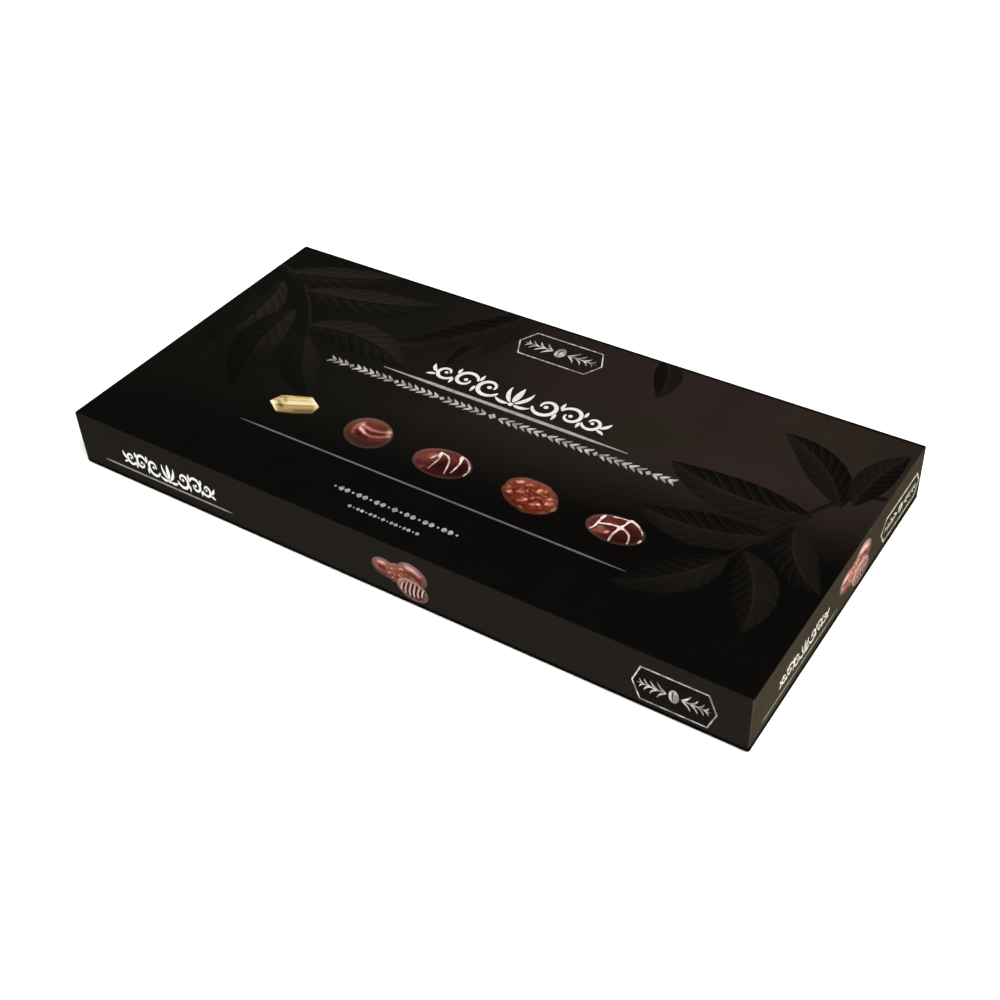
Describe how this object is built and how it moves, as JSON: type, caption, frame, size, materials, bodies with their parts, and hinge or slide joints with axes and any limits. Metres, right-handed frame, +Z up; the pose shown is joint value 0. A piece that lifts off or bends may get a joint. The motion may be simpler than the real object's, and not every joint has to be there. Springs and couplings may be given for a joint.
{
  "type": "box of chocolate pralines",
  "caption": "Shut, flat rectangular gift box of chocolate pralines in dark printed board: a full-depth lift-off lid over a tray.",
  "frame": {"origin": "middle of the flat underside of the tray", "axes": "+X along the long front wall, left to right; +Y from the front wall to the back; +Z up"},
  "size_m": [0.36, 0.178, 0.031],
  "materials": {
    "lid_board": "satin laminate over near-black print",
    "tray_board": "matte dark board",
    "white_ink": "satin print",
    "grey_ink": "satin print",
    "tonal_print": "satin print",
    "praline_print": "satin print"
  },
  "bodies": {
    "root": {"lid": "lid_board", "tray": "tray_board"}
  },
  "joints": []
}
